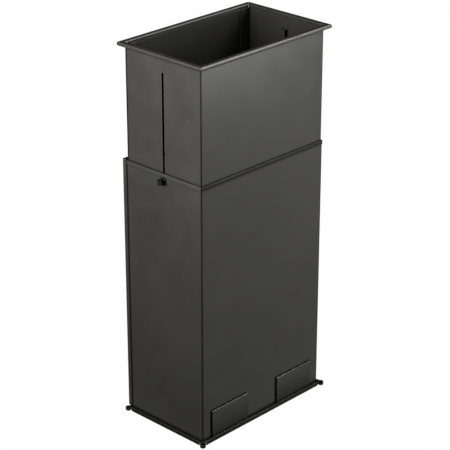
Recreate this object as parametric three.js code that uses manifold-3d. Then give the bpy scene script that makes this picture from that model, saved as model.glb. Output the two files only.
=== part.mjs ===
// A telescoping trash compactor bin: a lower sheet-metal shell on a tray, and a rimmed upper sleeve
// that slides in it and is clamped by a knob at each end. Millimetres, +Z up, +X along the long side.
// The origin is on the floor, under the middle of the bin.
import * as THREE from 'three';
import { mergeVertices } from 'three/addons/utils/BufferGeometryUtils.js';
import Module from 'manifold-3d';

const wasm = await Module();
wasm.setup();

// ---- driving dimensions ----
const binWidth = 406; // lower shell, outside, along X
const binDepth = 240; // lower shell, outside, along Y
const binTop = 658; // top edge of the lower shell
const sheet = 1.2; // wall sheet
const bend = 1; // inside radius of every sheet bend
const seat = 0.3; // gap between pieces that touch
const slideGap = 0.65; // sleeve to lower shell, each side
const hemHeight = 9.5;
const hemGap = 0.2; // air inside a folded hem
const returnFlange = 30; // rear flanges of both shells
const rounding = 1.2; // soft edges of feet and knobs

const heavySheet = 1.5; // tray, tabs and rim
const trayOverhang = 8; // tray beyond the lower shell
const trayTop = 11.5;
const trayDrop = 9.5; // height of the tray's skirts

const tabEndMargin = 29; // tab's outer edge from the end of the wall
const tabMiddleMargin = 51; // tab's inner edge from the middle
const tabTop = 81;
const tabStandoff = 4; // tab's outer face from the front wall

const footRadius = 7;
const footPadRadius = 4;
const footInset = 0.5; // foot centre inside the tray's corner
const footReachIn = 24; // foot arm, along X and Y, to its screw
const footArmBottom = 5;
const footPadHeight = 3.4; // swelling from the pad to the full radius
const screwRadius = 2;
const screwHeadRadius = 4;
const screwHeadHeight = 2.4;
const nutAcross = 7; // small nuts, across flats
const nutThick = 3.2;

const rearDepth = 14.3; // rear panel, front of its returns to its back face
const rearReturn = 18;
const rearFoot = 25; // rear panel's bottom flange, front to back
const rearFootMargin = 43; // that flange's ends from the ends of the bin
const rearScrewMargin = 50; // outer screws from the ends of that flange

const sleeveOverlap = 154; // sleeve inside the lower shell
const sleeveRise = 276; // sleeve's walls above the lower shell
const raiseTravel = 57; // sleeve up from here
const lowerTravel = 253; // sleeve down from here

const rimAbove = 8; // rim's top above the sleeve's walls
const rimReach = 13.4; // rim beyond the sleeve's walls
const rimDrop = 9.5; // outer lip
const rimBend = 1.8; // inside radius of the lip's bend
const rimReturn = 3.8; // lip's turned-in edge
const rimLeg = 14; // inner leg, beside the wall
const mitreGap = 0.5; // each side of a mitre

const washerClear = 2.5; // washer's edge below the hem
const studRadius = 3;
const slotClear = 0.4; // round the stud in its slot
const studEngage = 8; // stud inside its knob
const washerRadius = 6;
const washerThick = 1.6;
const knobRadius = 9.5;
const knobLobes = 4;
const lobeDepth = 2.6;
const lobeTurn = 60; // degrees from straight down
const collarRadius = 6;
const collarLength = 2.6;
const knobLength = 8; // lobed body
const clampNutAcross = 10;
const clampNutThick = 5;
const channelWall = 1.2;
const channelBend = 0.4;
const channelRun = 1.15; // channel's air behind the nut
const channelMargin = 8; // channel beyond the slot, and short of the sleeve's bottom edge

// ---- sizes that follow from them ----
const halfWidth = binWidth / 2;
const halfDepth = binDepth / 2;
const sleeveInset = sheet + slideGap;
const sleeveHalfWidth = halfWidth - sleeveInset;
const sleeveHalfDepth = halfDepth - sleeveInset;
const trayHalfWidth = halfWidth + trayOverhang;
const trayHalfDepth = halfDepth + trayOverhang;
const standHeight = trayTop + seat;
const screwHole = screwRadius + seat;
const clampHeight = binTop - hemHeight - washerRadius - washerClear;
const sleeveBottom = binTop - sleeveOverlap;
const sleeveTop = binTop + sleeveRise;
const rimTop = sleeveTop + rimAbove;
const slotWidth = 2 * (studRadius + slotClear);
const slotTop = clampHeight + lowerTravel + slotWidth / 2 + seat;
const slotBottom = clampHeight - raiseTravel - slotWidth / 2 - 2 * seat;
const channelTop = slotTop + channelMargin;
const channelBottom = sleeveBottom + channelMargin;
const rearFootHalf = halfWidth - rearFootMargin;

// ---- materials ----
const finish = (color, roughness, metalness) => ({ color, roughness, metalness });
const powderCoat = finish(0x3b3a38, 0.5, 0.3);
const blackPlastic = finish(0x17171a, 0.55, 0);
const blackRubber = finish(0x141414, 0.85, 0);
const zincSteel = finish(0x8c8e90, 0.35, 0.9);

// ---- shape helpers ----
const bendSteps = 4;
const roundSteps = 32;
const lobeSteps = 12; // round each knob lobe

// closed manifold solid from a three.js geometry
function solid(geometry) {
  const bare = geometry.index ? geometry.toNonIndexed() : geometry.clone();
  for (const name of Object.keys(bare.attributes)) {
    if (name !== 'position') bare.deleteAttribute(name);
  }
  const merged = mergeVertices(bare, 1e-4);
  const mesh = new wasm.Mesh({
    numProp: 3,
    vertProperties: new Float32Array(merged.attributes.position.array),
    triVerts: new Uint32Array(merged.index.array),
  });
  return new wasm.Manifold(mesh);
}

// three.js geometry from a manifold solid
function geometryOf(body) {
  const mesh = body.getMesh();
  const geometry = new THREE.BufferGeometry();
  const count = mesh.numVert;
  const positions = new Float32Array(count * 3);
  for (let i = 0; i < count; i += 1) {
    for (let axis = 0; axis < 3; axis += 1) {
      positions[i * 3 + axis] = mesh.vertProperties[i * mesh.numProp + axis];
    }
  }
  geometry.setAttribute('position', new THREE.BufferAttribute(positions, 3));
  geometry.setIndex(Array.from(mesh.triVerts));
  geometry.computeVertexNormals();
  return geometry;
}

const join = (...geometries) => geometryOf(
  geometries.map(solid).reduce((whole, next) => whole.add(next)),
);

const cut = (geometry, ...tools) => geometryOf(
  tools.map(solid).reduce((whole, next) => whole.subtract(next), solid(geometry)),
);

function box(low, high) {
  const size = high.map((value, axis) => value - low[axis]);
  const geometry = new THREE.BoxGeometry(...size);
  geometry.translate(...low.map((value, axis) => value + size[axis] / 2));
  return geometry;
}

// round rod or hole tool along an axis, from one coordinate to another
function rod(radius, axis, from, to, centre, sides = roundSteps) {
  const geometry = new THREE.CylinderGeometry(radius, radius, Math.abs(to - from), sides);
  if (axis === 'x') geometry.rotateZ(-Math.PI / 2);
  if (axis === 'z') geometry.rotateX(Math.PI / 2);
  const middle = (from + to) / 2;
  const place = axis === 'x' ? [middle, ...centre] : [...centre, middle];
  geometry.translate(...place);
  return geometry;
}

// centreline of a bent sheet: straight runs joined by arcs of the given radius
function bentPath(corners, radius) {
  const points = [corners[0].clone()];
  for (let i = 1; i < corners.length - 1; i += 1) {
    const back = corners[i - 1].clone().sub(corners[i]).normalize();
    const ahead = corners[i + 1].clone().sub(corners[i]).normalize();
    const reach = radius / Math.tan(back.angleTo(ahead) / 2);
    const start = corners[i].clone().addScaledVector(back, reach);
    const end = corners[i].clone().addScaledVector(ahead, reach);
    const bisector = back.clone().add(ahead).normalize();
    const centre = corners[i].clone().addScaledVector(bisector, Math.hypot(reach, radius));
    const a = start.clone().sub(centre);
    const b = end.clone().sub(centre);
    const sweep = Math.atan2(a.cross(b), a.dot(b));
    for (let step = 0; step <= bendSteps; step += 1) {
      const turned = a.clone().rotateAround(new THREE.Vector2(), (sweep * step) / bendSteps);
      points.push(turned.add(centre));
    }
  }
  points.push(corners[corners.length - 1].clone());
  return points.filter((point, i) => i === 0 || point.distanceTo(points[i - 1]) > 1e-6);
}

// outline of a sheet that follows a path, with the same thickness everywhere
function sheetShape(corners, thickness, insideRadius = bend) {
  const path = bentPath(corners.map((p) => new THREE.Vector2(...p)), insideRadius + thickness / 2);
  const left = [];
  const right = [];
  path.forEach((point, i) => {
    const back = point.clone().sub(path[Math.max(i - 1, 0)]).normalize();
    const ahead = path[Math.min(i + 1, path.length - 1)].clone().sub(point).normalize();
    const along = back.clone().add(ahead).normalize();
    const normal = new THREE.Vector2(-along.y, along.x);
    const stretch = 1 / Math.max(along.dot(back), along.dot(ahead));
    left.push(point.clone().addScaledVector(normal, (thickness / 2) * stretch));
    right.push(point.clone().addScaledVector(normal, (-thickness / 2) * stretch));
  });
  return new THREE.Shape([...left, ...right.reverse()]);
}

// a shape in plan, raised from one height to another
function raise(shape, from, to) {
  const geometry = new THREE.ExtrudeGeometry(shape, { depth: to - from, bevelEnabled: false });
  geometry.translate(0, 0, from);
  return geometry;
}

// a rail: a section of (outward, up) run along one side of a rectangle, mitred at both ends.
// side is 0 front, 1 right, 2 back, 3 left; reach is the rectangle's half size across the rail.
function mitredRail(shape, side, reach, halfLength) {
  const geometry = new THREE.ExtrudeGeometry(shape, { depth: 1, bevelEnabled: false });
  const position = geometry.attributes.position;
  for (let i = 0; i < position.count; i += 1) {
    const outward = position.getX(i);
    const up = position.getY(i);
    const end = position.getZ(i) > 0.5 ? -1 : 1;
    position.setXYZ(i, end * (halfLength + outward - mitreGap), -reach - outward, up);
  }
  geometry.rotateZ((side * Math.PI) / 2);
  geometry.computeVertexNormals();
  return geometry;
}

const part = new THREE.Group();

function add(name, geometry, look, parent = part) {
  const mesh = new THREE.Mesh(geometry, new THREE.MeshStandardMaterial(look));
  mesh.name = name;
  parent.add(mesh);
  return mesh;
}

// ---- base tray ----
const footCentre = [trayHalfWidth - footInset, trayHalfDepth - footInset];
const footScrew = footCentre.map((value) => value - footReachIn);
const corners = [
  ['front_left', -1, -1],
  ['front_right', 1, -1],
  ['rear_left', -1, 1],
  ['rear_right', 1, 1],
];
const rearScrewY = halfDepth - rearFoot / 2;
const rearScrewXs = [-1, 0, 1].map((side) => side * (rearFootHalf - rearScrewMargin));

function trayGeometry() {
  const low = trayTop - heavySheet;
  const plate = box([-trayHalfWidth, -trayHalfDepth, low], [trayHalfWidth, trayHalfDepth, trayTop]);
  // skirts stop short of the corners, clear of the foot arms that cross there
  const relief = (footRadius + seat) * Math.SQRT2 + heavySheet;
  const skirts = [];
  for (const end of [-1, 1]) {
    const [outX, inX] = [trayHalfWidth, trayHalfWidth - heavySheet].map((v) => v * end);
    const [outY, inY] = [trayHalfDepth, trayHalfDepth - heavySheet].map((v) => v * end);
    const alongX = trayHalfWidth - relief;
    const alongY = trayHalfDepth - relief;
    const bottom = trayTop - trayDrop;
    skirts.push(box([Math.min(outX, inX), -alongY, bottom], [Math.max(outX, inX), alongY, trayTop]));
    skirts.push(box([-alongX, Math.min(outY, inY), bottom], [alongX, Math.max(outY, inY), trayTop]));
  }
  const holes = corners.map(([, sx, sy]) => rod(
    screwHole, 'z', 0, trayTop * 2, [sx * footScrew[0], sy * footScrew[1]],
  ));
  const rearHoles = rearScrewXs.map((x) => rod(screwHole, 'z', 0, trayTop * 2, [x, rearScrewY]));
  return cut(join(plate, ...skirts), ...holes, ...rearHoles);
}
add('base_tray', trayGeometry(), powderCoat);

// ---- corner feet and their screws ----
function footGeometry(sx, sy) {
  const top = trayTop - heavySheet - seat;
  const [cx, cy] = [sx * footCentre[0], sy * footCentre[1]];
  const [ax, ay] = [sx * footScrew[0], sy * footScrew[1]];
  const profile = [
    [0, 0], [footPadRadius, 0], [footRadius - rounding, rounding], [footRadius, footPadHeight],
    [footRadius, top - rounding], [footRadius - rounding, top], [0, top],
  ].map((p) => new THREE.Vector2(...p));
  const pad = new THREE.LatheGeometry(profile, roundSteps);
  pad.rotateX(Math.PI / 2);
  pad.translate(cx, cy, 0);
  const armLength = Math.hypot(ax - cx, ay - cy);
  const arm = box([0, -footRadius, footArmBottom], [armLength, footRadius, top]);
  arm.rotateZ(Math.atan2(ay - cy, ax - cx));
  arm.translate(cx, cy, 0);
  const boss = rod(footRadius, 'z', footArmBottom, top, [ax, ay]);
  return cut(join(pad, arm, boss), rod(screwHole, 'z', 0, trayTop, [ax, ay]));
}

// pan-head screw, head down on the given height, shank reaching to the given tip
function screwGeometry(x, y, headSeat, tip) {
  const crown = headSeat + screwHeadHeight;
  const profile = [
    [0, tip], [screwRadius, tip], [screwRadius, headSeat], [screwHeadRadius, headSeat],
    [screwHeadRadius, crown - rounding], [screwHeadRadius - rounding, crown - seat], [0, crown],
  ].map((p) => new THREE.Vector2(...p));
  const geometry = new THREE.LatheGeometry(profile, roundSteps / 2);
  geometry.rotateX(Math.PI / 2);
  geometry.translate(x, y, 0);
  return geometry;
}

for (const [name, sx, sy] of corners) {
  add(`foot_${name}`, footGeometry(sx, sy), blackRubber);
  const [x, y] = [sx * footScrew[0], sy * footScrew[1]];
  add(`foot_screw_${name}`, screwGeometry(x, y, trayTop + seat, footArmBottom), zincSteel);
}

// ---- front tabs ----
function tabGeometry(fromX, toX) {
  const outer = halfDepth + tabStandoff - heavySheet / 2;
  const inner = halfDepth + seat + heavySheet / 2;
  const low = trayTop + seat + heavySheet / 2;
  const high = tabTop - heavySheet / 2;
  const section = sheetShape([
    [trayHalfDepth - seat, low], [outer, low], [outer, high], [inner, high], [inner, high - hemHeight],
  ], heavySheet, (outer - inner - heavySheet) / 2);
  const geometry = new THREE.ExtrudeGeometry(section, { depth: toX - fromX, bevelEnabled: false });
  geometry.rotateX(Math.PI / 2);
  geometry.rotateZ(-Math.PI / 2);
  geometry.translate(toX, 0, 0);
  return geometry;
}
const tabOuterX = halfWidth - tabEndMargin;
add('tab_left', tabGeometry(-tabOuterX, -tabMiddleMargin), powderCoat);
add('tab_right', tabGeometry(tabMiddleMargin, tabOuterX), powderCoat);

// ---- rear panel, its screws and nuts ----
function rearPanelGeometry() {
  const front = halfDepth + seat + sheet / 2;
  const back = halfDepth + rearDepth - sheet / 2;
  const side = halfWidth - sheet / 2;
  const inner = halfWidth - rearReturn;
  const plan = sheetShape([
    [-inner, front], [-side, front], [-side, back], [side, back], [side, front], [inner, front],
  ], sheet);
  const wall = raise(plan, standHeight, binTop);
  const footTop = standHeight + sheet;
  const flange = box(
    [-rearFootHalf, halfDepth - rearFoot, standHeight],
    [rearFootHalf, halfDepth + rearDepth - sheet / 2, footTop],
  );
  const holes = rearScrewXs.map((x) => rod(screwHole, 'z', 0, footTop * 2, [x, rearScrewY]));
  return cut(join(wall, flange), ...holes);
}
add('rear_panel', rearPanelGeometry(), powderCoat);

// hexagonal nut along an axis, its flats facing the sideways direction
function nutGeometry(across, axis, from, to, centre, bore) {
  const radius = across / Math.sqrt(3);
  const blank = rod(radius, axis, from, to, [0, 0], 6);
  blank.translate(axis === 'x' ? 0 : centre[0], axis === 'x' ? centre[0] : centre[1],
    axis === 'x' ? centre[1] : 0);
  const reach = Math.abs(to - from);
  return cut(blank, rod(bore, axis, Math.min(from, to) - reach, Math.max(from, to) + reach, centre));
}

rearScrewXs.forEach((x, i) => {
  const headSeat = standHeight + sheet + seat;
  const nutTop = trayTop - heavySheet - seat;
  add(`rear_screw_${i + 1}`, screwGeometry(x, rearScrewY, headSeat, nutTop - nutThick), zincSteel);
  const nut = nutGeometry(nutAcross, 'z', nutTop - nutThick, nutTop, [x, rearScrewY], screwHole);
  add(`rear_nut_${i + 1}`, nut, zincSteel);
});

// ---- lower shell: front, both ends and rear flanges from one sheet ----
// plan of a sheet that wraps front and ends, its outer face at the given half sizes
function wrapShape(outerX, outerY, thickness, rearY, flange, insideRadius) {
  const x = outerX - thickness / 2;
  const y = outerY - thickness / 2;
  const rear = rearY - thickness / 2;
  const route = [[-x, rear], [-x, -y], [x, -y], [x, rear]];
  if (flange > 0) {
    route.unshift([-outerX + flange, rear]);
    route.push([outerX - flange, rear]);
  }
  return sheetShape(route, thickness, insideRadius);
}

function lowerShellGeometry() {
  const wall = raise(wrapShape(halfWidth, halfDepth, sheet, halfDepth, returnFlange), standHeight, binTop);
  const proud = hemGap + sheet;
  const hemRear = halfDepth - sheet - bend;
  const skin = raise(wrapShape(
    halfWidth + proud, halfDepth + proud, sheet, hemRear, 0, bend + proud,
  ), binTop - hemHeight, binTop);
  const fold = raise(wrapShape(
    halfWidth + proud, halfDepth + proud, proud + sheet, hemRear, 0, bend,
  ), binTop - sheet, binTop);
  const studHole = rod(studRadius + seat, 'x', -binWidth, binWidth, [0, clampHeight]);
  return cut(join(wall, skin, fold), studHole);
}
add('lower_shell', lowerShellGeometry(), powderCoat);

// ---- sliding sleeve ----
const sleeve = new THREE.Group();
part.add(sleeve);

function slotTool() {
  const radius = slotWidth / 2;
  const low = slotBottom + radius;
  const high = slotTop - radius;
  return join(
    box([-binWidth, -radius, low], [binWidth, radius, high]),
    rod(radius, 'x', -binWidth, binWidth, [0, low]),
    rod(radius, 'x', -binWidth, binWidth, [0, high]),
  );
}

const upperWrapRear = sleeveHalfDepth - sheet - seat;
const upperPlan = wrapShape(sleeveHalfWidth, sleeveHalfDepth, sheet, upperWrapRear, returnFlange);
add('upper_shell', cut(raise(upperPlan, sleeveBottom, sleeveTop), slotTool()), powderCoat, sleeve);

const backPanel = box(
  [-sleeveHalfWidth, sleeveHalfDepth - sheet, sleeveBottom],
  [sleeveHalfWidth, sleeveHalfDepth, sleeveTop],
);
add('upper_back_panel', backPanel, powderCoat, sleeve);

// rim section: leg beside the wall, flat top, outer lip and its turned-in edge
const railSection = sheetShape([
  [seat + heavySheet / 2, rimTop - rimLeg],
  [seat + heavySheet / 2, rimTop - heavySheet / 2],
  [rimReach - heavySheet / 2, rimTop - heavySheet / 2],
  [rimReach - heavySheet / 2, rimTop - rimDrop + heavySheet / 2],
  [rimReach - rimReturn - rimBend, rimTop - rimDrop + heavySheet / 2],
], heavySheet, rimBend);
const railNames = ['rim_front', 'rim_right', 'rim_back', 'rim_left'];
railNames.forEach((name, side) => {
  const alongX = side % 2 === 0;
  const reach = alongX ? sleeveHalfDepth : sleeveHalfWidth;
  const halfLength = alongX ? sleeveHalfWidth : sleeveHalfDepth;
  add(name, mitredRail(railSection, side, reach, halfLength), powderCoat, sleeve);
});

// ---- guide channels and clamps, one set at each end ----
const channelInner = clampNutAcross + 2 * seat;
const channelDepth = seat + clampNutThick + channelRun + channelWall;
const wallInside = sleeveHalfWidth - sheet;

function channelGeometry() {
  const near = wallInside - seat;
  const far = wallInside - seat - channelDepth + channelWall / 2;
  const side = (channelInner + channelWall) / 2;
  const plan = sheetShape([[near, -side], [far, -side], [far, side], [near, side]], channelWall, channelBend);
  return raise(plan, channelBottom, channelTop);
}

function knobGeometry(back) {
  const outline = [];
  const points = knobLobes * lobeSteps;
  for (let i = 0; i < points; i += 1) {
    const angle = (i / points) * Math.PI * 2;
    const dip = (1 - Math.cos(knobLobes * (angle - THREE.MathUtils.degToRad(lobeTurn)))) / 2;
    const radius = knobRadius - lobeDepth * dip;
    outline.push(new THREE.Vector2(radius * Math.cos(angle), radius * Math.sin(angle)));
  }
  const edge = rounding;
  const core = outline.map((p) => p.clone().setLength(p.length() - edge));
  const lobed = new THREE.ExtrudeGeometry(new THREE.Shape(core), {
    depth: knobLength - 2 * edge, bevelThickness: edge, bevelSize: edge, bevelSegments: 2,
  });
  lobed.rotateY(Math.PI / 2);
  lobed.translate(back + collarLength + edge, 0, clampHeight);
  const collar = rod(collarRadius, 'x', back, back + collarLength + edge, [0, clampHeight]);
  const socket = rod(studRadius + seat, 'x', back - edge, back + studEngage + seat, [0, clampHeight]);
  return cut(join(lobed, collar), socket);
}

for (const [name, turn] of [['right', 0], ['left', Math.PI]]) {
  const guide = new THREE.Group();
  guide.rotation.z = turn;
  sleeve.add(guide);
  add(`guide_channel_${name}`, channelGeometry(), powderCoat, guide);

  const clamp = new THREE.Group();
  clamp.rotation.z = turn;
  part.add(clamp);
  const axis = [0, clampHeight];
  const washerBack = halfWidth + seat;
  const washer = cut(
    rod(washerRadius, 'x', washerBack, washerBack + washerThick, axis),
    rod(studRadius + seat, 'x', halfWidth, halfWidth + binTop, axis),
  );
  add(`washer_${name}`, washer, zincSteel, clamp);
  const nutFace = wallInside - seat;
  const nut = nutGeometry(clampNutAcross, 'x', nutFace - clampNutThick, nutFace, axis, studRadius + seat);
  add(`clamp_nut_${name}`, nut, zincSteel, clamp);
  const knobBack = washerBack + washerThick + seat;
  add(`knob_${name}`, knobGeometry(knobBack), blackPlastic, clamp);
  const stud = rod(studRadius, 'x', nutFace - clampNutThick - seat, knobBack + studEngage, axis);
  add(`stud_${name}`, stud, zincSteel, clamp);
}

export default part;
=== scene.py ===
import math

import bmesh
import bpy
import numpy as np
from mathutils import Euler, Matrix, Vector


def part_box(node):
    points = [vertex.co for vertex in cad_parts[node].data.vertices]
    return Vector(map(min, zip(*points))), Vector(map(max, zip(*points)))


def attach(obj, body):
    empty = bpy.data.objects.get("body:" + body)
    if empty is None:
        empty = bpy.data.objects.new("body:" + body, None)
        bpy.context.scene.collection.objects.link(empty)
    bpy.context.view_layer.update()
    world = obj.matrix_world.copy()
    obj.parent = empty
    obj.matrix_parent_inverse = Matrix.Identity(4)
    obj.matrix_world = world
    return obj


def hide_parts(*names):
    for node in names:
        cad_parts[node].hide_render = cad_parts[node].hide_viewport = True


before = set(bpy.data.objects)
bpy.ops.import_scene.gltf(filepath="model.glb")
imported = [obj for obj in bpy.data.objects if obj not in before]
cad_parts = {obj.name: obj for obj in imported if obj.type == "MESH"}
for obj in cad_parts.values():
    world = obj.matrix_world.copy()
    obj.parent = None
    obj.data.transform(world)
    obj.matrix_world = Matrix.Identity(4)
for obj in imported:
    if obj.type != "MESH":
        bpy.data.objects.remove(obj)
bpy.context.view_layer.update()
mm = 0.001


# a node's box in millimetres, as are the sizes below
def boxOf(node):
    low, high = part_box(node)
    return np.array(low) / mm, np.array(high) / mm


# camera, floor and light

cameraSetup = {
    "place": (-2.7166, -2.6072, 2.1441),
    "heading": 46.146,  # degrees from +Y towards +X
    "dip": 24.013,
    "lens": 139.2,
    "sensor": 36.0,
    "farthest": 60.0,
}


def makeCamera(setup):
    data = bpy.data.cameras.new("camera")
    data.lens = setup["lens"]
    data.sensor_width = setup["sensor"]
    data.clip_end = setup["farthest"]
    camera = bpy.data.objects.new("camera", data)
    bpy.context.scene.collection.objects.link(camera)
    turn = Euler((math.radians(90 - setup["dip"]), 0, -math.radians(setup["heading"]))).to_matrix()
    camera.matrix_world = Matrix.Translation(setup["place"]) @ turn.to_4x4()
    bpy.context.scene.camera = camera


makeCamera(cameraSetup)

studio = {
    "floorHalf": 30.0,
    "floorDrop": 0.0005,
    "floorGlow": 1.0,
    "lightColour": (1.0, 1.0, 0.955),
    "lights": {
        # name: (place, aim, width, height, watts)
        "leftLow": ((-1.7, 0.3, 0.92), (0, 0, 0.75), 0.8, 0.8, 43.9),
        "leftNear": ((-1.5, 0.2, 1.5), (0, 0, 0.8), 0.8, 0.8, 27.3),
        "frontLowNear": ((0.45, -1.0, 0.86), (0, 0, 0.8), 0.6, 0.3, 11.0),
        "frontNear": ((0.9, -1.5, 1.6), (0, 0, 0.8), 0.8, 0.8, 16.4),
        "frontEdge": ((1.6, -1.3, 1.25), (0, 0, 0.9), 0.6, 0.3, 10.6),
        "rimLight": ((2.4, -1.4, 3.0), (0, 0, 0.9), 1.0, 1.0, 43.1),
        "above": ((0, 0, 3.0), (0, 0, 0.9), 1.6, 1.6, 16.7),
        "backFill": ((0.6, 3.0, 0.7), (0, 0, 0.5), 1.6, 1.0, 40.0),
        "endFill": ((3.0, 0.6, 0.7), (0, 0, 0.5), 1.2, 1.0, 25.0),
    },
    # strength of the surroundings by height of the direction, on the right and elsewhere
    "skyEdge": 0.78,
    "skySoft": 0.25,
    "skyHeights": [-0.8, -0.52, -0.38, -0.22, -0.02, 0.3, 0.75],
    "skyRight": [0.0, 0.31, 0.95, 0.0, 0.0, 0.0, 0.02],
    "skyElsewhere": [0.0, 0.0, 0.0, 0.0, 0.0, 0.0, 0.02],
}


def mathNode(tree, operation, a, b):
    node = tree.nodes.new("ShaderNodeMath")
    node.operation = operation
    for socket, value in zip(node.inputs, (a, b)):
        if isinstance(value, (int, float)):
            socket.default_value = value
        else:
            tree.links.new(value, socket)
    return node.outputs[0]


def rangeFrom(tree, value, low, high, toLow, toHigh):
    node = tree.nodes.new("ShaderNodeMapRange")
    node.inputs["From Min"].default_value = low
    node.inputs["From Max"].default_value = high
    node.inputs["To Min"].default_value = toLow
    node.inputs["To Max"].default_value = toHigh
    tree.links.new(value, node.inputs["Value"])
    return node.outputs["Result"]


# straight runs of strength between given heights, which run from -1 to 1
def heightLine(tree, height, heights, strengths):
    ramp = tree.nodes.new("ShaderNodeFloatCurve")
    curve = ramp.mapping.curves[0]
    top = max(strengths)
    inner = [(h / 2 + 0.5, v) for h, v in zip(heights, strengths)]
    for i, (h, v) in enumerate([(0.0, strengths[0]), *inner, (1.0, strengths[-1])]):
        point = curve.points[i] if i < 2 else curve.points.new(h, v / top)
        point.location = (h, v / top)
        point.handle_type = "VECTOR"
    ramp.mapping.update()
    tree.links.new(height, ramp.inputs["Value"])
    return mathNode(tree, "MULTIPLY", ramp.outputs[0], top)


# surroundings that differ to the right, which is towards +X and -Y
def skyStrength(tree, direction, setup):
    split = tree.nodes.new("ShaderNodeSeparateXYZ")
    tree.links.new(direction, split.inputs[0])
    height = rangeFrom(tree, split.outputs["Z"], -1, 1, 0, 1)
    across = mathNode(tree, "SUBTRACT", split.outputs["X"], split.outputs["Y"])
    right = heightLine(tree, height, setup["skyHeights"], setup["skyRight"])
    elsewhere = heightLine(tree, height, setup["skyHeights"], setup["skyElsewhere"])
    edge = setup["skyEdge"]
    soft = setup["skySoft"]
    toRight = rangeFrom(tree, across, edge - soft, edge + soft, 0, 1)
    blend = tree.nodes.new("ShaderNodeMix")
    tree.links.new(toRight, blend.inputs["Factor"])
    tree.links.new(elsewhere, blend.inputs["A"])
    tree.links.new(right, blend.inputs["B"])
    return blend.outputs["Result"]


# a glowing white floor that casts no light on the bin
def makeFloor(setup):
    half = setup["floorHalf"]
    drop = -setup["floorDrop"]
    mesh = bpy.data.meshes.new("floor")
    mesh.from_pydata([(-half, -half, drop), (half, -half, drop), (half, half, drop), (-half, half, drop)],
                     [], [(0, 1, 2, 3)])
    floor = bpy.data.objects.new("floor", mesh)
    bpy.context.scene.collection.objects.link(floor)
    paper = bpy.data.materials.new("paperFloor")
    paper.use_nodes = True
    tree = paper.node_tree
    tree.nodes.clear()
    glow = tree.nodes.new("ShaderNodeEmission")
    glow.inputs["Strength"].default_value = setup["floorGlow"]
    out = tree.nodes.new("ShaderNodeOutputMaterial")
    tree.links.new(glow.outputs[0], out.inputs["Surface"])
    mesh.materials.append(paper)
    floor.visible_diffuse = False
    floor.visible_glossy = False
    floor.visible_shadow = False


def makeLights(setup):
    for name, (place, aim, width, height, watts) in setup["lights"].items():
        data = bpy.data.lights.new(name, "AREA")
        data.shape = "RECTANGLE"
        data.size = width
        data.size_y = height
        data.energy = watts
        data.color = setup["lightColour"]
        light = bpy.data.objects.new(name, data)
        bpy.context.scene.collection.objects.link(light)
        away = np.array(place, float) - np.array(aim, float)
        yaw = math.atan2(away[0], -away[1])
        pitch = math.atan2(math.hypot(away[0], away[1]), away[2])
        light.matrix_world = Matrix.Translation(place) @ Euler((pitch, 0, yaw)).to_matrix().to_4x4()


# the surroundings look white to the camera and light the bin by skyStrength
def makeAir(setup):
    world = bpy.data.worlds.new("studioAir")
    bpy.context.scene.world = world
    world.use_nodes = True
    tree = world.node_tree
    tree.nodes.clear()
    coords = tree.nodes.new("ShaderNodeTexCoord")
    air = tree.nodes.new("ShaderNodeBackground")
    white = tree.nodes.new("ShaderNodeBackground")
    seen = tree.nodes.new("ShaderNodeLightPath")
    pick = tree.nodes.new("ShaderNodeMixShader")
    out = tree.nodes.new("ShaderNodeOutputWorld")
    tree.links.new(skyStrength(tree, coords.outputs["Generated"], setup), air.inputs["Strength"])
    tree.links.new(seen.outputs["Is Camera Ray"], pick.inputs["Fac"])
    tree.links.new(air.outputs[0], pick.inputs[1])
    tree.links.new(white.outputs[0], pick.inputs[2])
    tree.links.new(pick.outputs[0], out.inputs["Surface"])
    white.inputs["Color"].default_value = (1, 1, 1, 1)
    air.inputs["Color"].default_value = (*setup["lightColour"], 1)
    bpy.context.scene.view_settings.view_transform = "Standard"


makeFloor(studio)
makeLights(studio)
makeAir(studio)
print("camera and studio ready")


# finishes

def newTree(name):
    material = bpy.data.materials.new(name)
    material.use_nodes = True
    tree = material.node_tree
    tree.nodes.clear()
    shader = tree.nodes.new("ShaderNodeBsdfPrincipled")
    out = tree.nodes.new("ShaderNodeOutputMaterial")
    tree.links.new(shader.outputs[0], out.inputs["Surface"])
    return material, tree, shader


def noiseFrom(tree, coords, scale, detail, rough=0.5):
    noise = tree.nodes.new("ShaderNodeTexNoise")
    noise.inputs["Scale"].default_value = scale
    noise.inputs["Detail"].default_value = detail
    noise.inputs["Roughness"].default_value = rough
    tree.links.new(coords, noise.inputs["Vector"])
    return noise.outputs["Fac"]


def mixColours(tree, factor, a, b):
    node = tree.nodes.new("ShaderNodeMix")
    node.data_type = "RGBA"
    tree.links.new(factor, node.inputs["Factor"])
    for socket, value in ((node.inputs["A"], a), (node.inputs["B"], b)):
        if isinstance(value, tuple):
            socket.default_value = value
        else:
            tree.links.new(value, socket)
    return node.outputs["Result"]


def bumpFrom(tree, height, strength, distance, below=None):
    node = tree.nodes.new("ShaderNodeBump")
    node.inputs["Strength"].default_value = strength
    node.inputs["Distance"].default_value = distance
    tree.links.new(height, node.inputs["Height"])
    if below is not None:
        tree.links.new(below, node.inputs["Normal"])
    return node.outputs["Normal"]


def grey(value, warm=0.0):
    return (value * (1 + warm), value, value * (1 - warm), 1.0)


coatLook = {
    "gloss": 0.5,
    "tone": 0.020,
    "warm": 0.02,
    "toneSpread": 0.12,
    "cloudScale": 5.0,
    "speckScale": 900.0,
    "speckTone": 1.6,
    "roughLow": 0.33,
    "roughHigh": 0.40,
    "smearScale": 18.0,
    "grainScale": 1100.0,
    "grainStrength": 0.35,
    "grainDepth": 0.00006,
    "waveScale": 3.5,
    "waveStrength": 0.5,
    "waveDepth": 0.0002,
    "worn": 0.10,
    "patchScale": 60.0,
    "crannyReach": 0.007,  # shade that gathers where pieces meet
    "crannyPower": 2.4,
    "bendShadeDim": 0.62,  # painted shade along each sharp bend: how much it dims colour and gloss
}


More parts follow.
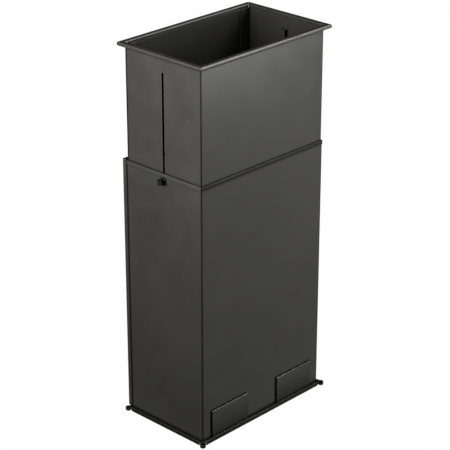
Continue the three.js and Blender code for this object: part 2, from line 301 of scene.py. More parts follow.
def markFrom(tree, name):
    node = tree.nodes.new("ShaderNodeAttribute")
    node.attribute_name = name
    return node.outputs["Fac"]


# painted shade: how much light a place keeps, less in crannies and along bends
def shadeFactor(tree, look):
    cranny = tree.nodes.new("ShaderNodeAmbientOcclusion")
    cranny.samples = 8
    cranny.inputs["Distance"].default_value = look["crannyReach"]
    openness = mathNode(tree, "POWER", cranny.outputs["AO"], look["crannyPower"])
    bendShade = mathNode(tree, "MULTIPLY", markFrom(tree, "bendShade"), look["bendShadeDim"])
    return mathNode(tree, "MULTIPLY", openness, mathNode(tree, "SUBTRACT", 1.0, bendShade))


# cloudy, faintly specked coat with a fine grain over slow waves, rubbed through at its cut edges
def powderCoat(name, look, shade=1.0, shine=1.0):
    material, tree, shader = newTree(name)
    coords = tree.nodes.new("ShaderNodeTexCoord").outputs["Object"]
    tone = look["tone"] * shade
    spread = look["toneSpread"]
    cloud = noiseFrom(tree, coords, look["cloudScale"], 4.0)
    speck = noiseFrom(tree, coords, look["speckScale"], 2.0)
    body = mixColours(tree, rangeFrom(tree, cloud, 0.3, 0.7, 0, 1),
                      grey(tone * (1 - spread), look["warm"]), grey(tone * (1 + spread), look["warm"]))
    specked = mixColours(tree, rangeFrom(tree, speck, 0.62, 0.75, 0, 0.5),
                         body, grey(tone * look["speckTone"], look["warm"]))
    patch = noiseFrom(tree, coords, look["patchScale"], 3.0)
    rub = mathNode(tree, "MULTIPLY", markFrom(tree, "wear"), rangeFrom(tree, patch, 0.35, 0.65, 0.25, 1.0))
    worn = mixColours(tree, rub, specked, grey(look["worn"], look["warm"]))
    # painted shade: crannies and bends darken the colour towards black and dim the gloss
    kept = shadeFactor(tree, look)
    tree.links.new(mixColours(tree, kept, grey(0.001), worn), shader.inputs["Base Color"])
    tree.links.new(mathNode(tree, "MULTIPLY", kept, look["gloss"] * shine),
                   shader.inputs["Specular IOR Level"])
    smear = noiseFrom(tree, coords, look["smearScale"], 4.0)
    tree.links.new(rangeFrom(tree, smear, 0.3, 0.7, look["roughLow"], look["roughHigh"]),
                   shader.inputs["Roughness"])
    wave = noiseFrom(tree, coords, look["waveScale"], 1.0)
    grain = noiseFrom(tree, coords, look["grainScale"], 2.0)
    soft = bumpFrom(tree, wave, look["waveStrength"], look["waveDepth"])
    tree.links.new(bumpFrom(tree, grain, look["grainStrength"], look["grainDepth"], soft),
                   shader.inputs["Normal"])
    return material


rubberLook = {
    "dark": 0.006,
    "light": 0.014,
    "cloudScale": 90.0,
    "cloudDetail": 4.0,
    "roughLow": 0.62,
    "roughHigh": 0.8,
    "metal": 0.0,
    "gloss": 0.15,
    "grainScale": 1500.0,
    "grainDetail": 3.0,
    "grainStrength": 0.4,
    "grainDepth": 0.0001,
}
plasticLook = {
    "dark": 0.003,
    "light": 0.006,
    "cloudScale": 120.0,
    "cloudDetail": 3.0,
    "roughLow": 0.5,
    "roughHigh": 0.62,
    "metal": 0.0,
    "gloss": 0.06,
    "grainScale": 2200.0,
    "grainDetail": 2.0,
    "grainStrength": 0.3,
    "grainDepth": 0.00006,
}
zincLook = {
    "dark": 0.32,
    "light": 0.5,
    "cloudScale": 300.0,
    "cloudDetail": 4.0,
    "roughLow": 0.3,
    "roughHigh": 0.45,
    "metal": 0.9,
    "gloss": 0.5,
    "grainScale": 2500.0,
    "grainDetail": 2.0,
    "grainStrength": 0.25,
    "grainDepth": 0.00005,
}


# rubber, moulded plastic and zinc plate: a small cloud turns tone and roughness together, under a fine grain
def grainyFinish(name, look):
    material, tree, shader = newTree(name)
    shader.inputs["Metallic"].default_value = look["metal"]
    shader.inputs["Specular IOR Level"].default_value = look["gloss"]
    coords = tree.nodes.new("ShaderNodeTexCoord").outputs["Object"]
    cloud = noiseFrom(tree, coords, look["cloudScale"], look["cloudDetail"])
    tree.links.new(mixColours(tree, cloud, grey(look["dark"]), grey(look["light"])),
                   shader.inputs["Base Color"])
    tree.links.new(rangeFrom(tree, cloud, 0.3, 0.7, look["roughLow"], look["roughHigh"]),
                   shader.inputs["Roughness"])
    grain = noiseFrom(tree, coords, look["grainScale"], look["grainDetail"])
    tree.links.new(bumpFrom(tree, grain, look["grainStrength"], look["grainDepth"]), shader.inputs["Normal"])
    return material


coat = powderCoat("powderCoat", coatLook)
# painted shade: the base tray gets a darker, duller copy of the coat
shadedTrayCoat = powderCoat("shadedTrayCoat", coatLook, shade=0.35, shine=0.3)
footRubber = grainyFinish("footRubber", rubberLook)
knobPlastic = grainyFinish("knobPlastic", plasticLook)
zinc = grainyFinish("zincPlate", zincLook)


# lines, sections and surfaces, all in millimetres

def leftOf(direction):
    return np.stack([-direction[..., 1], direction[..., 0]], axis=-1)


# straight runs joined by round bends: points, left-hand normals and length along the line
def bentLine(corners, radius, steps=8):
    corners = np.asarray(corners, float)
    runs = np.diff(corners, axis=0)
    runs /= np.linalg.norm(runs, axis=1)[:, None]
    points = [corners[:1]]
    normals = [leftOf(runs[:1])]
    for corner, a, b in zip(corners[1:-1], runs, runs[1:]):
        turn = math.atan2(a[0] * b[1] - a[1] * b[0], a @ b)
        side = math.copysign(1.0, turn)
        start = corner - a * radius * math.tan(abs(turn) / 2)
        centre = start + leftOf(a) * radius * side
        angle = np.linspace(0, turn, steps + 1)
        spun = np.stack([np.cos(angle), np.sin(angle)], axis=1)
        normal = leftOf(np.stack([a[0] * spun[:, 0] - a[1] * spun[:, 1],
                                  a[0] * spun[:, 1] + a[1] * spun[:, 0]], axis=1))
        points.append(centre - side * radius * normal)
        normals.append(normal)
    points.append(corners[-1:])
    normals.append(leftOf(runs[-1:]))
    points = np.concatenate(points)
    normals = np.concatenate(normals)
    keep = np.r_[True, np.linalg.norm(np.diff(points, axis=0), axis=1) > 1e-6]
    points = points[keep]
    normals = normals[keep]
    lengths = np.r_[0, np.cumsum(np.linalg.norm(np.diff(points, axis=0), axis=1))]
    return points, normals, lengths


# places along a bent line and the painted bend shade there: 1 round each bend, fading out beside it
def bendShadeAlong(normals, lengths, fade):
    turning = np.linalg.norm(np.diff(normals, axis=0), axis=1) > 1e-6
    flat = np.nonzero(~turning)[0]
    quiet = np.r_[lengths[flat] + fade, lengths[flat + 1] - fade]
    bendShade = (np.r_[turning, False] | np.r_[False, turning]).astype(float)
    places = np.r_[lengths, quiet]
    order = np.argsort(places)
    return places[order], np.r_[bendShade, quiet * 0][order]


# closed outline of a bent sheet: the centre line moved half a thickness to each side,
# with its cut edges eased
def sheetSection(corners, thickness, insideRadius, ease):
    points, normals, _ = bentLine(corners, insideRadius + thickness / 2)
    half = thickness / 2
    first = -leftOf(normals[0])
    last = -leftOf(normals[-1])
    left = points + normals * half
    right = points - normals * half
    left[0] += first * ease
    right[0] += first * ease
    left[-1] -= last * ease
    right[-1] -= last * ease
    tipStart = [points[0] - normals[0] * (half - ease), points[0] + normals[0] * (half - ease)]
    tipEnd = [points[-1] + normals[-1] * (half - ease), points[-1] - normals[-1] * (half - ease)]
    return np.concatenate([tipStart, left, tipEnd, right[::-1]])


# quads between rows of a grid, each row closed round its columns
def gridQuads(rows, columns):
    row = np.arange(rows - 1)[:, None] * columns
    column = np.arange(columns)
    after = (column + 1) % columns
    quads = np.stack([row + column, row + after, row + columns + after, row + columns + column], axis=-1)
    return quads.reshape(-1, 4).tolist()


# a closed ring carried through its rows, with both ends filled
def tubeOf(grid):
    rows, columns = grid.shape[:2]
    faces = gridQuads(rows, columns)
    faces.append(list(range(columns))[::-1])
    faces.append(list(range((rows - 1) * columns, rows * columns)))
    return grid.reshape(-1, 3), faces


# a closed ring carried through its rows and joined back to the first, as round a bore
def loopOf(grid):
    rows, columns = grid.shape[:2]
    last = (rows - 1) * columns
    here = np.arange(columns)
    after = (here + 1) % columns
    closing = np.stack([last + here, last + after, after, here], axis=1)
    return grid.reshape(-1, 3), gridQuads(rows, columns) + closing.tolist()


nearAxis = 0.01  # radius of the small ring that ends a turned shape


# a surface of revolution about +Z: radius and height per ring, turned round the circle
def turned(profile, sides=48):
    profile = np.asarray(profile, float)
    angle = np.linspace(0, 2 * np.pi, sides, endpoint=False)
    radius = profile[:, :1]
    return np.stack([radius * np.cos(angle), radius * np.sin(angle),
                     np.repeat(profile[:, 1:], sides, axis=1)], axis=-1)


def quarterRound(centre, radius, start, end, steps=5):
    angle = np.radians(np.linspace(start, end, steps + 1))
    return [(centre[0] + radius * math.cos(a), centre[1] + radius * math.sin(a)) for a in angle]


def placed(part, turn=None, shift=(0, 0, 0)):
    verts, faces = part[:2]
    if turn is not None:
        verts = verts @ np.array(turn, float).T
    return verts + np.asarray(shift, float), faces


alongX = [[0, 0, 1], [0, 1, 0], [-1, 0, 0]]  # turns +Z to +X
alongMinusX = [[0, 0, -1], [0, 1, 0], [1, 0, 0]]


smoothBelow = math.radians(28)
bevelAbove = math.radians(40)


# several closed surfaces as one piece, each with or without its marks for wear and for painted bend shade
def makePiece(name, parts, material, body, nodeNames, ease=None):
    verts = np.concatenate([part[0] for part in parts]) * mm
    marks = np.concatenate([part[2] if len(part) > 2 else np.zeros((len(part[0]), 2)) for part in parts])
    faces = []
    first = 0
    for part in parts:
        faces += [[index + first for index in face] for face in part[1]]
        first += len(part[0])
    mesh = bpy.data.meshes.new(name)
    mesh.from_pydata(verts.tolist(), [], faces)
    for column, mark in enumerate(("wear", "bendShade")):
        layer = mesh.attributes.new(mark, "FLOAT", "POINT")
        layer.data.foreach_set("value", np.ascontiguousarray(marks[:, column], np.float32))
    work = bmesh.new()
    work.from_mesh(mesh)
    bmesh.ops.remove_doubles(work, verts=work.verts, dist=1e-7)
    bmesh.ops.recalc_face_normals(work, faces=work.faces)
    work.to_mesh(mesh)
    work.free()
    mesh.shade_smooth()
    mesh.set_sharp_from_angle(angle=smoothBelow)
    mesh.materials.append(material)
    piece = bpy.data.objects.new(name, mesh)
    bpy.context.scene.collection.objects.link(piece)
    if ease:
        bevel = piece.modifiers.new("easedEdges", "BEVEL")
        bevel.width = ease * mm
        bevel.segments = 2
        bevel.limit_method = "ANGLE"
        bevel.angle_limit = bevelAbove
        bevel.harden_normals = True
    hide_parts(*nodeNames)
    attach(piece, body)


# a bent wall standing on its plan line, with round-ended slots cut through it.
# Each point of a slot's edge is where the line from a surrounding grid point to the
# slot's centre line crosses the edge.
def slottedWall(corners, thickness, insideRadius, low, high, slots=(), outward=-1, margin=12.0):
    points, normals, lengths = bentLine(corners, insideRadius + thickness / 2)
    rub = 0.7  # band beside a cut edge where the coat wears
    fade = 1.6  # band beside a bend where its painted shade fades
    bendShadePlaces, bendShades = bendShadeAlong(normals, lengths, fade)
    heights = [low, low + rub, high - rub, high]
    stations = [bendShadePlaces, rub, lengths[-1] - rub]
    crossings = []
    for radius, slotLow, slotHigh in slots:
        for k in np.nonzero(points[:-1, 1] * points[1:, 1] < 0)[0]:
            share = points[k, 1] / (points[k, 1] - points[k + 1, 1])
            middle = lengths[k] + share * (lengths[k + 1] - lengths[k])
            crossings.append((middle, radius, slotLow, slotHigh))
            stations.append(middle + np.linspace(-margin, margin, 9))
        heights += [*np.linspace(slotLow - margin, slotLow, 5), *np.linspace(slotHigh, slotHigh + margin, 5)]
    stations = np.unique(np.round(np.hstack(stations), 6))
    heights = np.unique(np.round(heights, 6))
    flatX, flatZ = np.meshgrid(stations, heights, indexing="ij")
    flat = np.stack([flatX, flatZ], axis=-1).reshape(-1, 2)
    rows, columns = len(stations), len(heights)
    number = np.arange(rows * columns).reshape(rows, columns)
    worn = np.zeros((rows, columns))
    worn[[0, -1]] = 1
    worn[:, [0, -1]] = 1
    wear = worn.reshape(-1)
    solid = np.ones((rows - 1, columns - 1), bool)
    ringFaces = []
    loops = [np.concatenate([number[:-1, 0], number[-1, :-1], number[:0:-1, -1], number[0, :0:-1]])]
    for middle, radius, slotLow, slotHigh in crossings:
        i = np.nonzero(np.abs(stations - middle) < margin + 1e-3)[0]
        j = np.nonzero((heights > slotLow - margin - 1e-3) & (heights < slotHigh + margin + 1e-3))[0]
        zone = number[i[0]:i[-1] + 1, j[0]:j[-1] + 1]
        solid[i[0]:i[-1], j[0]:j[-1]] = False
        loop = np.concatenate([zone[:-1, 0], zone[-1, :-1], zone[:0:-1, -1], zone[0, :0:-1]])
        around = flat[loop]
        core = np.stack([np.full(len(loop), middle), np.clip(around[:, 1], slotLow, slotHigh)], axis=1)
        reach = around - core
        reach /= np.linalg.norm(reach, axis=1)[:, None]
        band = np.arange(len(loop)) + len(flat)
        edge = band + len(loop)
        flat = np.concatenate([flat, core + reach * (radius + rub), core + reach * radius])
        wear = np.concatenate([wear, np.zeros(len(loop)), np.ones(len(loop))])
        after = np.roll(np.arange(len(loop)), -1)
        ringFaces.append(np.stack([loop, loop[after], band[after], band], axis=1))
        ringFaces.append(np.stack([band, band[after], edge[after], edge], axis=1))
        loops.append(edge[::-1])
    cells = np.stack([number[:-1, :-1], number[1:, :-1], number[1:, 1:], number[:-1, 1:]], axis=-1)[solid]
    faces = np.concatenate([cells.reshape(-1, 4), *ringFaces])
    place = np.stack([np.interp(flat[:, 0], lengths, points[:, k]) for k in (0, 1)], axis=1)
    facing = np.stack([np.interp(flat[:, 0], lengths, normals[:, k]) for k in (0, 1)], axis=1)
    facing /= np.linalg.norm(facing, axis=1)[:, None]
    half = thickness / 2
    outer = np.column_stack([place + facing * outward * half, flat[:, 1]])
    inner = np.column_stack([place - facing * outward * half, flat[:, 1]])
    count = len(flat)
    quads = faces.tolist() + (faces[:, ::-1] + count).tolist()
    for loop in loops:
        after = np.roll(loop, -1)
        quads += np.stack([after, loop, loop + count, after + count], axis=1).tolist()
    # painted shade along each bend of the wall
    bendShade = np.interp(flat[:, 0], bendShadePlaces, bendShades)
    return np.concatenate([outer, inner]), quads, np.tile(np.stack([wear, bendShade], axis=1), (2, 1))


# a flat plate with eased edges, given by two corners
def plate(low, high, ease=0.3):
    low = np.asarray(low, float)
    high = np.asarray(high, float)
    lean = np.array([ease, ease, 0])
    rings = [(low + lean, high - lean, low[2]), (low, high, low[2] + ease),
             (low, high, high[2] - ease), (low + lean, high - lean, high[2])]
    grid = np.array([[(a[0], a[1], z), (b[0], a[1], z), (b[0], b[1], z), (a[0], b[1], z)]
                     for a, b, z in rings])
    return tubeOf(grid)


print("finishes and tools ready")


# lower shell

lowerShell = {
    "sheet": 1.2,
    "insideBend": 1.0,
    "hemGap": 0.2,
    "hemHeight": 9.5,
    "hemFade": 0.01,
    "flange": 30.0,
    "studHole": 3.3,
    "holeMargin": 10.0,
}


# plan of a wall that wraps front and ends and turns in at the rear
def wrapPlan(halfWidth, front, rear, thickness, flange):
    half = thickness / 2
    x = halfWidth - half
    turnedIn = halfWidth - flange
    return [(-turnedIn, rear - half), (-x, rear - half), (-x, front + half), (x, front + half),
            (x, rear - half), (turnedIn, rear - half)]


studHeight = float(np.mean(boxOf("stud_left"), axis=0)[2])
binHalfWidth = boxOf("rear_panel")[1][0]
binLow, binHigh = boxOf("lower_shell")


def makeLowerShell(spec):
    sheet = spec["sheet"]
    gap = spec["hemGap"]
    top = binHigh[2]
    rear = binHigh[1]
    front = -rear
    foldTop = top - sheet - gap / 2  # where the wall runs into its fold
    plan = wrapPlan(binHalfWidth, front, rear, sheet, spec["flange"])
    wall = slottedWall(plan, sheet, spec["insideBend"], binLow[2], foldTop,
                       [(spec["studHole"], studHeight, studHeight + 0.01)], margin=spec["holeMargin"])
    # hem: the wall's edge folded out and down, carried round front and ends
    section = sheetSection([(-sheet / 2, foldTop), (-sheet / 2, top - sheet / 2),
                            (gap + sheet / 2, top - sheet / 2),
                            (gap + sheet / 2, top - spec["hemHeight"])], sheet, gap / 2, ease=0.2)
    hemRear = rear - sheet - spec["insideBend"]
    route = [(-binHalfWidth, hemRear), (-binHalfWidth, front), (binHalfWidth, front), (binHalfWidth, hemRear)]
    points, normals, lengths = bentLine(route, spec["insideBend"] + sheet)
    grid = np.concatenate([
        points[:, None] - normals[:, None] * section[None, :, :1],
        np.broadcast_to(section[None, :, 1:], (len(points), len(section), 1)),
    ], axis=-1)
    # the hem's painted bend shade sits in the middle of each corner, not where the bend starts
    bendShade = np.interp(lengths, *bendShadeAlong(normals, lengths, spec["hemFade"]))
    bendShade = np.repeat(bendShade * np.roll(bendShade, 1) * np.roll(bendShade, -1), len(section))
    hem = (*tubeOf(grid), np.stack([bendShade * 0, bendShade], axis=1))
    makePiece("lowerShell", [wall, hem], coat, "housing", ["lower_shell"])


makeLowerShell(lowerShell)


# sliding sleeve

sleeve = {
    "sheet": 1.2,
    "insideBend": 1.0,
    "flange": 30.0,
    "slotWidth": 6.8,
    "slotLow": 579.0,
    "slotHigh": 896.7,
}
sleeveLow, sleeveHigh = boxOf("upper_shell")


def makeSleeve(spec):
    plan = wrapPlan(sleeveHigh[0], sleeveLow[1], sleeveHigh[1], spec["sheet"], spec["flange"])
    radius = spec["slotWidth"] / 2
    slot = (radius, spec["slotLow"] + radius, spec["slotHigh"] - radius)
    wall = slottedWall(plan, spec["sheet"], spec["insideBend"], sleeveLow[2], sleeveHigh[2], [slot])
    makePiece("sleeveWrap", [wall], coat, "sleeve", ["upper_shell"], ease=0.25)
    low, high = boxOf("upper_back_panel")
    makePiece("sleeveBack", [plate(low, high)], coat, "sleeve", ["upper_back_panel"])


makeSleeve(sleeve)

guideChannel = {"sheet": 1.2, "insideBend": 0.4}


def makeGuideChannels(spec):
    for side, sign in (("left", -1), ("right", 1)):
        low, high = boxOf("guide_channel_" + side)
        half = spec["sheet"] / 2
        near = high[0] if sign > 0 else low[0]
        far = (low[0] if sign > 0 else high[0]) + sign * half
        reach = high[1] - half
        plan = [(near, -reach), (far, -reach), (far, reach), (near, reach)]
        wall = slottedWall(plan, spec["sheet"], spec["insideBend"], low[2], high[2])
        makePiece("guideChannel" + side.title(), [wall], coat, "sleeve",
                  ["guide_channel_" + side], ease=0.2)


makeGuideChannels(guideChannel)

rim = {
    "sheet": 1.5,
    "insideBend": 1.8,
    "leg": 14.0,
    "lip": 9.5,
    "turnedIn": 5.6,
}


# rim rails: one section, outward and up, run along each side and mitred at the corners
def makeRim(spec):
    half = spec["sheet"] / 2
    for side, name in enumerate(["front", "right", "back", "left"]):
        low, high = boxOf("rim_" + name)
        across = 1 if side % 2 == 0 else 0
        outer = max(abs(low[across]), abs(high[across]))
        inner = min(abs(low[across]), abs(high[across]))
        reach = high[1 - across]
        top = high[2]
        section = sheetSection([
            (inner + half, top - spec["leg"]), (inner + half, top - half), (outer - half, top - half),
            (outer - half, top - spec["lip"] + half), (outer - spec["turnedIn"], top - spec["lip"] + half),
        ], spec["sheet"], spec["insideBend"], ease=0.35)
        length = reach - outer + section[:, 0]
        rows = []
        for end in (-1, 1):
            rows.append(np.stack([end * length, -section[:, 0], section[:, 1]], axis=-1))
        angle = side * math.pi / 2
        turn = [[math.cos(angle), -math.sin(angle), 0], [math.sin(angle), math.cos(angle), 0], [0, 0, 1]]
        rail = placed(tubeOf(np.stack(rows)), turn)
        makePiece("rim" + name.title(), [rail], coat, "sleeve", ["rim_" + name])


makeRim(rim)
print("sleeve and rim ready")


# rear panel

rearPanel = {"sheet": 1.2, "insideBend": 1.0, "return": 18.0, "gap": 0.3, "flangeHalf": 160.0}


def makeRearPanel(spec):
    low, high = boxOf("rear_panel")
    sheet = spec["sheet"]
    half = sheet / 2
    shellRear = binHigh[1]
    front = shellRear + spec["gap"] + half
    x = high[0] - half
    back = high[1] - half
    inner = high[0] - spec["return"]
    plan = [(-inner, front), (-x, front), (-x, back), (x, back), (x, front), (inner, front)]
    wall = slottedWall(plan, sheet, spec["insideBend"], low[2], high[2], outward=1)
    flange = plate((-spec["flangeHalf"], low[1], low[2]), (spec["flangeHalf"], back, low[2] + sheet))
    makePiece("rearPanel", [wall, flange], coat, "housing", ["rear_panel"])


makeRearPanel(rearPanel)


# base tray: a flat top whose sides bend down, with a flat lug left at each corner

baseTray = {"sheet": 1.5, "outsideBend": 2.2, "cornerRelief": 11.82}


def makeBaseTray(spec):
    low, high = boxOf("base_tray")
    sheet = spec["sheet"]
    radius = spec["outsideBend"]
    steps = 6
    # one side's fold, from the middle outwards: reach, drop and lean of the outer face
    angle = np.linspace(0, math.pi / 2, steps + 1)
    skirt = high[2] - low[2]
    fold = np.stack([np.r_[radius * np.sin(angle), radius],
                     np.r_[radius * (1 - np.cos(angle)), skirt]], axis=1)
    lean = np.stack([np.r_[np.sin(angle), 1], np.r_[np.cos(angle), 0]], axis=1)

    # places along one axis, with the drop and the lean of the outer face there
    def axisLine(half):
        relief = half - spec["cornerRelief"]
        out = half - radius + fold[:, 0]
        place = np.r_[-out[::-1], -relief, relief, out]
        drop = np.r_[fold[::-1, 1], 0, 0, fold[:, 1]]
        side = np.r_[-lean[::-1, 0], 0, 0, lean[:, 0]]
        up = np.r_[lean[::-1, 1], 1, 1, lean[:, 1]]
        return place, drop, side, up

    x, dropX, sideX, upX = axisLine(high[0])
    y, dropY, sideY, upY = axisLine(high[1])
    rows, columns = len(x), len(y)
    z = high[2] - dropX[:, None] - dropY[None]
    up = np.minimum(upX[:, None], upY[None])
    outer = np.stack(np.broadcast_arrays(x[:, None], y[None], z), axis=-1)
    facing = np.stack(np.broadcast_arrays(sideX[:, None], sideY[None], up), axis=-1)
    inner = outer - facing * sheet
    number = np.arange(rows * columns).reshape(rows, columns)
    flatX = np.abs((x[1:] + x[:-1]) / 2) < high[0] - spec["cornerRelief"]
    flatY = np.abs((y[1:] + y[:-1]) / 2) < high[1] - spec["cornerRelief"]
    keep = flatX[:, None] | flatY[None]
    cells = np.stack([number[:-1, :-1], number[1:, :-1], number[1:, 1:], number[:-1, 1:]], axis=-1)[keep]
    count = rows * columns
    quads = cells.tolist() + (cells[:, ::-1] + count).tolist()
    edges = dict.fromkeys((a, b) for cell in cells.tolist() for a, b in zip(cell, cell[1:] + cell[:1]))
    quads += [[b, a, a + count, b + count] for a, b in edges if (b, a) not in edges]
    verts = np.concatenate([outer.reshape(-1, 3), inner.reshape(-1, 3)])
    used = np.unique(np.array(quads))
    renumber = np.full(len(verts), -1)
    renumber[used] = np.arange(len(used))
    tray = (verts[used], renumber[np.array(quads)].tolist())
    lugs = []
    for sx in (-1, 1):
        for sy in (-1, 1):
            corner = np.array([sx * high[0], sy * high[1]])
            inside = corner - np.array([sx, sy]) * spec["cornerRelief"]
            a = np.minimum(corner, inside)
            b = np.maximum(corner, inside)
            lugs.append(plate((*a, high[2] - sheet), (*b, high[2]), ease=0.25))
    # the tray wears the darker copy of the coat, painted shade
    makePiece("baseTray", [tray, *lugs], shadedTrayCoat, "housing", ["base_tray"])


makeBaseTray(baseTray)


# front tabs: foot on the tray, leg up the front, top edge hemmed back

tab = {"sheet": 1.5, "hem": 9.5, "standoff": 4.0, "ease": 0.3}


def makeTabs(spec):
    half = spec["sheet"] / 2
    ease = spec["ease"]
    wallFront = binHigh[1]
    for side in ("left", "right"):
        low, high = boxOf("tab_" + side)
        outer = wallFront + spec["standoff"] - half
        inner = -high[1] + half
        radius = (outer - inner) / 2 - half
        reach = -low[1]
        section = sheetSection([
            (reach, low[2] + half), (outer, low[2] + half), (outer, high[2] - half),
            (inner, high[2] - half), (inner, high[2] - half - spec["hem"]),
        ], spec["sheet"], radius, ease)
        rows = []
        for x in (low[0], low[0] + ease, high[0] - ease, high[0]):
            rows.append(np.stack([np.full(len(section), x), -section[:, 0], section[:, 1]], axis=-1))
        grid = np.stack(rows)
        # painted shade on the tab's foot, carried in the bend-shade column of its marks
        foot = (grid[..., 2].reshape(-1) < low[2] + 2 * spec["sheet"]).astype(float)
        marks = np.stack([foot * 0, foot], axis=1)
        makePiece("tab" + side.title(), [(*tubeOf(grid), marks)], coat, "housing",
                  ["tab_" + side])


makeTabs(tab)
print("housing sheets ready")


# feet: a round pad at the tray's corner and an arm that runs in to its screw

foot = {"radius": 7.0, "armLow": 5.0, "shoulder": 1.2, "pad": 4.0, "padRound": 3.0, "padRise": 3.4}
corners = {"front_left": (-1, -1), "front_right": (1, -1), "rear_left": (-1, 1), "rear_right": (1, 1)}


def makeFeet(spec):
    radius = spec["radius"]
    shoulder = spec["shoulder"]
    for name, signs in corners.items():
        low, high = boxOf("foot_" + name)
        top = high[2]
        signs = np.array(signs)
        corner = np.where(signs > 0, high[:2], low[:2]) - signs * radius
        inward = np.where(signs > 0, low[:2], high[:2]) + signs * radius
        profile = [(nearAxis, 0), (spec["pad"], 0),
                   *quarterRound((spec["pad"], spec["padRise"]), spec["padRound"], -75, 0, 5),
                   (radius, top - shoulder),
                   *quarterRound((radius - shoulder, top - shoulder), shoulder, 20, 90, 4), (nearAxis, top)]
        pad = placed(tubeOf(turned(profile)), shift=(*corner, 0))
        # arm: a stadium of the same radius from pad to screw, its top edge rounded
        span = np.linalg.norm(inward - corner)
        angle = np.linspace(0, 2 * np.pi, 64, endpoint=False)
        across = inward - corner
        direction = across / span
        circle = np.stack([np.cos(angle), np.sin(angle)], axis=1)
        ahead = (circle @ direction > 0)[:, None]
        rings = []
        for shrink, z in ((0.5, spec["armLow"]), (0, spec["armLow"] + 0.5), (0, top - shoulder),
                          (0.35, top - 0.35), (shoulder, top)):
            ring = corner + np.where(ahead, across, 0) + circle * (radius - shrink)
            rings.append(np.column_stack([ring, np.full(len(ring), z)]))
        makePiece("foot" + name.title().replace("_", ""), [pad, tubeOf(np.stack(rings))], footRubber,
                  "housing", ["foot_" + name])


makeFeet(foot)


# screws, nuts and washers

screw = {"shank": 2.0, "head": 4.0, "headHeight": 2.4, "headRound": 1.5, "socket": 1.5, "socketDepth": 1.3}


# pan head with a hexagonal socket: rings go from the tip up, over the head and down the socket,
# whose rings are squeezed from round to hexagonal
def screwSurface(spec, tip, headTop):
    seat = headTop - spec["headHeight"]
    head = spec["head"]
    rounding = spec["headRound"]
    profile = [(nearAxis, tip), (spec["shank"] - 0.5, tip), (spec["shank"], tip + 0.5), (spec["shank"], seat),
               (head, seat), (head, seat + 0.8),
               *quarterRound((head - rounding, headTop - rounding), rounding, 10, 90, 5),
               (spec["socket"] + 0.3, headTop)]
    outer = turned(profile)
    angle = np.linspace(0, 2 * np.pi, outer.shape[1], endpoint=False)
    hexagon = spec["socket"] * math.cos(math.pi / 6) / np.cos((angle % (np.pi / 3)) - np.pi / 6)
    rings = [outer]
    floor = headTop - spec["socketDepth"]
    for share, z in ((1.0, headTop - 0.1), (1.0, floor), (0.01, floor)):
        ring = np.stack([share * hexagon * np.cos(angle), share * hexagon * np.sin(angle),
                         np.full(len(angle), z)], axis=-1)
        rings.append(ring[None])
    return tubeOf(np.concatenate(rings))


def makeScrews(spec):
    names = ["foot_screw_" + corner for corner in corners]
    names += ["rear_screw_1", "rear_screw_2", "rear_screw_3"]
    for name in names:
        low, high = boxOf(name)
        middle = (low + high) / 2
        surface = placed(screwSurface(spec, low[2], high[2]), shift=(middle[0], middle[1], 0))
        makePiece(name.title().replace("_", ""), [surface], zinc, "housing", [name])


makeScrews(screw)


# hexagonal nut about +Z: the hexagon's radius, cut back near both faces by a cone
def nutSurface(across, bore, thick, chamfer=0.25, sides=72):
    angle = np.linspace(0, 2 * np.pi, sides, endpoint=False)
    hexagon = across / 2 / np.cos((angle % (np.pi / 3)) - np.pi / 6)
    face = across / 2 * 0.94
    corner = across / 2 * 1.06
    rings = []
    for radius, z in ((bore, 0), (face, 0), (corner, chamfer), (across, 1.0), (across, thick - 1.0),
                      (corner, thick - chamfer), (face, thick), (bore, thick)):
        reach = np.minimum(hexagon, radius)
        rings.append(np.stack([reach * np.cos(angle), reach * np.sin(angle), np.full(sides, z)], axis=-1))
    return loopOf(np.stack(rings))


def washerSurface(outer, bore, thick, rounding=0.25, ease=0.15, sides=64):
    profile = [(bore, ease), (bore + ease, 0), (outer - rounding, 0), (outer, rounding),
               (outer, thick - rounding), (outer - rounding, thick), (bore + ease, thick),
               (bore, thick - ease)]
    return loopOf(turned(profile, sides))


# threaded rod about +Z: radius less a triangle wave of height less turn, drawn in at both ends
def threadedRod(radius, length, spec, sides=24):
    pitch = spec["pitch"]
    rings = int(length / pitch * spec["ringsPerTurn"])
    z = np.linspace(0, length, rings + 1)[:, None]
    angle = np.linspace(0, 2 * np.pi, sides, endpoint=False)[None]
    phase = (z / pitch - angle / (2 * np.pi)) % 1.0
    inside = np.clip(np.minimum(z, length - z) / spec["endLength"], 0, 1)
    reach = radius - spec["depth"] * np.abs(2 * phase - 1) - (1 - inside) * spec["endTaper"]
    grid = np.stack([reach * np.cos(angle), reach * np.sin(angle), z + 0 * angle], axis=-1)
    return tubeOf(grid)


rearNut = {"across": 7.0, "bore": 2.05}


def makeRearNuts(spec):
    for i in (1, 2, 3):
        low, high = boxOf(f"rear_nut_{i}")
        middle = (low + high) / 2
        nut = placed(nutSurface(spec["across"], spec["bore"], high[2] - low[2]),
                     shift=(middle[0], middle[1], low[2]))
        makePiece(f"RearNut{i}", [nut], zinc, "housing", [f"rear_nut_{i}"])


makeRearNuts(rearNut)

clamp = {"nutAcross": 10.0, "bore": 3.1}
thread = {"pitch": 1.0, "depth": 0.45, "ringsPerTurn": 8, "endLength": 0.8, "endTaper": 0.6}


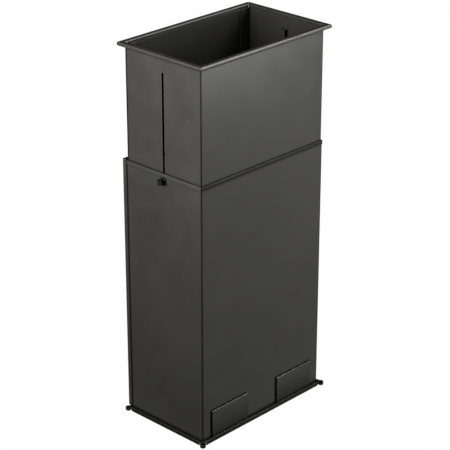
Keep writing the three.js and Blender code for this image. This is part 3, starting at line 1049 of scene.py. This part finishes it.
# washer, clamp nut and stud of each clamp, along X from the inside outwards
def makeClamps(spec):
    for side, sign in (("left", -1), ("right", 1)):
        turn = alongX if sign > 0 else alongMinusX

        def placedAt(node, surface):
            low, high = boxOf(node)
            return placed(surface, turn, (low[0] if sign > 0 else high[0], 0, studHeight))

        low, high = boxOf("washer_" + side)
        washer = washerSurface((high[1] - low[1]) / 2, spec["bore"], high[0] - low[0])
        makePiece("washer" + side.title(), [placedAt("washer_" + side, washer)], zinc,
                  "housing", ["washer_" + side])
        low, high = boxOf("clamp_nut_" + side)
        nut = nutSurface(spec["nutAcross"], spec["bore"], high[0] - low[0])
        makePiece("clampNut" + side.title(), [placedAt("clamp_nut_" + side, nut)], zinc,
                  "housing", ["clamp_nut_" + side])
        low, high = boxOf("stud_" + side)
        rod = threadedRod(high[1], high[0] - low[0], thread)
        makePiece("stud" + side.title(), [placedAt("stud_" + side, rod)], zinc,
                  side + "_stud", ["stud_" + side])


makeClamps(clamp)


# clamp knobs: a lobed head on a round collar

knob = {"radius": 9.5, "lobes": 4, "lobeDepth": 2.6, "lobeTurn": 60.0, "collar": 6.0, "collarLength": 2.6,
        "edge": 1.6, "socket": 3.1, "socketDepth": 8.2, "cap": 4.2, "capDrop": 0.7}


# each ring's radius is its own, less a cosine dip between lobes that fades towards the collar and the cap
def knobSurface(spec, length, sides=128):
    radius = spec["radius"]
    edge = spec["edge"]
    back = spec["collarLength"]
    collar = spec["collar"]
    cap = spec["cap"]
    recess = length - spec["capDrop"]
    rings = [(nearAxis, spec["socketDepth"], 0), (spec["socket"], spec["socketDepth"], 0),
             (spec["socket"], 0, 0), (collar - 0.4, 0, 0), (collar, 0.4, 0), (collar, back - 0.3, 0)]
    rings += [(r, z, 1) for r, z in quarterRound((radius - edge, back + edge), edge, -90, 0, 5)]
    rings += [(r, z, 1) for r, z in quarterRound((radius - edge, length - edge), edge, 0, 90, 6)]
    rings += [(cap + 1.0, length - 0.1, 0.15), (cap, recess, 0), (cap - 0.8, recess, 0),
              (nearAxis, recess + 0.2, 0)]
    rings = np.array(rings)
    angle = np.linspace(0, 2 * np.pi, sides, endpoint=False)[None]
    dip = spec["lobeDepth"] * (1 - np.cos(spec["lobes"] * (angle - math.radians(spec["lobeTurn"])))) / 2
    reach = rings[:, :1] - dip * rings[:, 2:]
    grid = np.stack([reach * np.cos(angle), reach * np.sin(angle), rings[:, 1:2] + 0 * angle], axis=-1)
    return tubeOf(grid)


def makeKnobs(spec):
    for side, sign in (("left", -1), ("right", 1)):
        low, high = boxOf("knob_" + side)
        start = low[0] if sign > 0 else high[0]
        surface = placed(knobSurface(spec, high[0] - low[0]), alongX if sign > 0 else alongMinusX,
                         (start, 0, studHeight))
        makePiece("knob" + side.title(), [surface], knobPlastic, side + "_knob", ["knob_" + side])


makeKnobs(knob)
print("feet and hardware ready")
